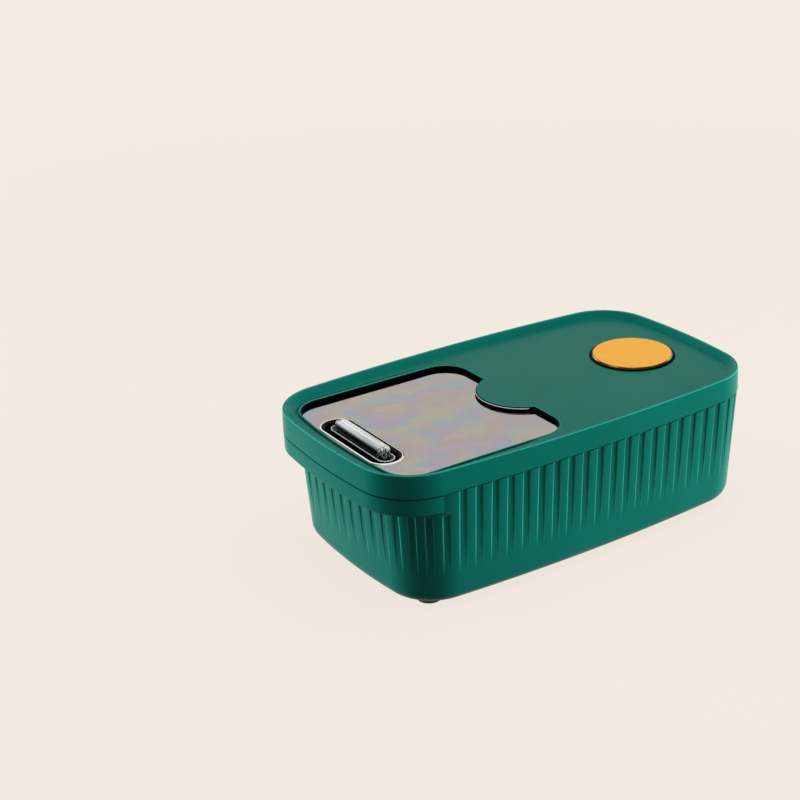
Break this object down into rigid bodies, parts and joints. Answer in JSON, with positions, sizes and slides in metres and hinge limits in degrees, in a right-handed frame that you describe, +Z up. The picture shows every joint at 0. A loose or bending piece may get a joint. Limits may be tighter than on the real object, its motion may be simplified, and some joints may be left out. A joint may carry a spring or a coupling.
{
  "type": "rice storage bin",
  "caption": "Long low ribbed bin with round corners, a lift-off lid, a sliding pour window with a finger grip, and a round lift-out cap over a repellent cup.",
  "frame": {"origin": "on the surface that the feet stand on, under the middle of the lid", "axes": "+X to the right seen from the front, +Y from the pull lip to the rear along the length, +Z up"},
  "size_m": [0.225, 0.395, 0.13],
  "materials": {
    "green_shell": "satin",
    "black_trim": "gloss",
    "frame_plastic": "matte",
    "pearl_window": "mirror gloss",
    "clear_grip": "clear gloss",
    "gold_cap": "satin",
    "foot_rubber": "matte",
    "seal_rubber": "matte",
    "screw_steel": "plain"
  },
  "bodies": {
    "tub": {"bin_tub": "green_shell", "foot_front_left": "foot_rubber", "foot_front_right": "foot_rubber", "foot_rear_left": "foot_rubber", "foot_rear_right": "foot_rubber"},
    "lid": {"lid_cover": "green_shell", "lid_gasket": "seal_rubber", "window_bezel": "black_trim", "runner_frame": "frame_plastic", "frame_screws": "screw_steel", "window_seal": "seal_rubber", "repellent_cup": "black_trim"},
    "window": {"window_panel": "pearl_window", "window_grip": "clear_grip"},
    "cap": {"repellent_cap": "gold_cap", "cap_seal": "seal_rubber"}
  },
  "joints": [
    {"name": "lid_lift", "type": "slide", "parent": "tub", "child": "lid", "axis": [0, 0, 1], "range_m": [0, 0.04]},
    {"name": "window_slide", "type": "slide", "parent": "lid", "child": "window", "axis": [0, 1, 0], "range_m": [0, 0.085]},
    {"name": "cap_lift", "type": "slide", "parent": "lid", "child": "cap", "axis": [0, 0, 1], "range_m": [0, 0.015]}
  ]
}
